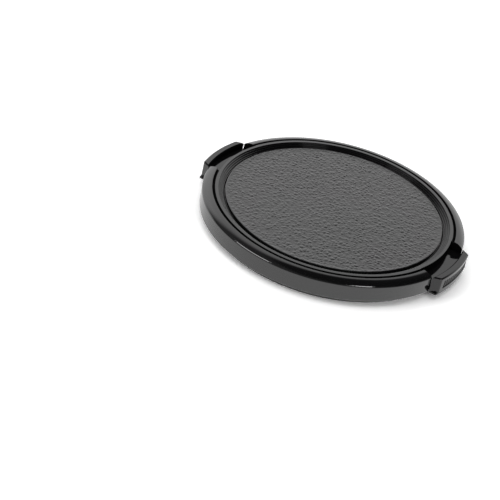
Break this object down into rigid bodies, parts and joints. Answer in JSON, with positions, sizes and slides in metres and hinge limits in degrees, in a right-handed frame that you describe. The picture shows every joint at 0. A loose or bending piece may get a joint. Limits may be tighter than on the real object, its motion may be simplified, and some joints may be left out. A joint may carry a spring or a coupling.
{
  "type": "camera lens cap",
  "caption": "Round side-pinch lens cap with a grained face, stepped ring and domed rim; sprung grips squeeze in to release it from the lens thread.",
  "frame": {"origin": "under the centre of the cap, on the table that the skirt's edge lies on", "axes": "+Z out of the front face, +X along the slide of the two grips, +Y across it"},
  "size_m": [0.0846, 0.08, 0.0083],
  "materials": {
    "front_plastic": "satin moulding with a grained disc",
    "back_plastic": "fine matt",
    "latch_plastic": "satin",
    "spring_steel": "bright drawn wire"
  },
  "bodies": {
    "cap": {"front_shell": "front_plastic", "back_plate": "back_plastic", "spring_right": "spring_steel", "spring_left": "spring_steel"},
    "right_latch": {"latch_right": "latch_plastic"},
    "left_latch": {"latch_left": "latch_plastic"}
  },
  "joints": [
    {"name": "right_latch_slide", "type": "slide", "parent": "cap", "child": "right_latch", "axis": [-1, 0, 0], "range_m": [0, 0.002], "stiffness_N_per_m": 250, "springref_m": -0.006, "deforming": ["spring_right"]},
    {"name": "left_latch_slide", "type": "slide", "parent": "cap", "child": "left_latch", "axis": [1, 0, 0], "range_m": [0, 0.002], "stiffness_N_per_m": 250, "springref_m": -0.006, "deforming": ["spring_left"]}
  ]
}
